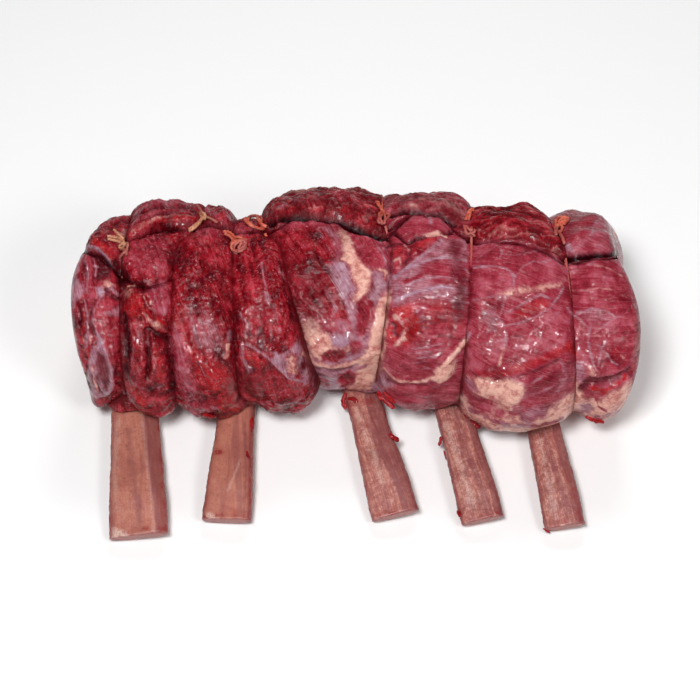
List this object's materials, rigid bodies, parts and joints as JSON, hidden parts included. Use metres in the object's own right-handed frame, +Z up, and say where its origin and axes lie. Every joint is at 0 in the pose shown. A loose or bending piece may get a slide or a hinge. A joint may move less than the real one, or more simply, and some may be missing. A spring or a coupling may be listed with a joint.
{
  "type": "tied beef rib roast",
  "caption": "Raw beef rib roast: a rolled piece of lobed meat on bare-ended rib bones, tied round with loops of butcher's twine.",
  "frame": {"origin": "middle of the bottom of the bounding box, on the surface that the roast lies on", "axes": "+Z up, +X along the roast from the end with the widest rib, and -Y the way the bare bone ends point"},
  "size_m": [0.314, 0.198, 0.1065],
  "materials": {
    "meat": "wet raw muscle with fat and silver skin",
    "bone": "scraped raw bone, slightly moist",
    "twine": "soaked cotton twine"
  },
  "bodies": {
    "root": {"meat": "meat", "rib_1": "bone", "rib_2": "bone", "rib_3": "bone", "rib_4": "bone", "rib_5": "bone", "twine_1": "twine", "twine_2": "twine", "twine_3": "twine", "twine_4": "twine", "twine_5": "twine", "twine_6": "twine", "twine_7": "twine"}
  },
  "joints": []
}
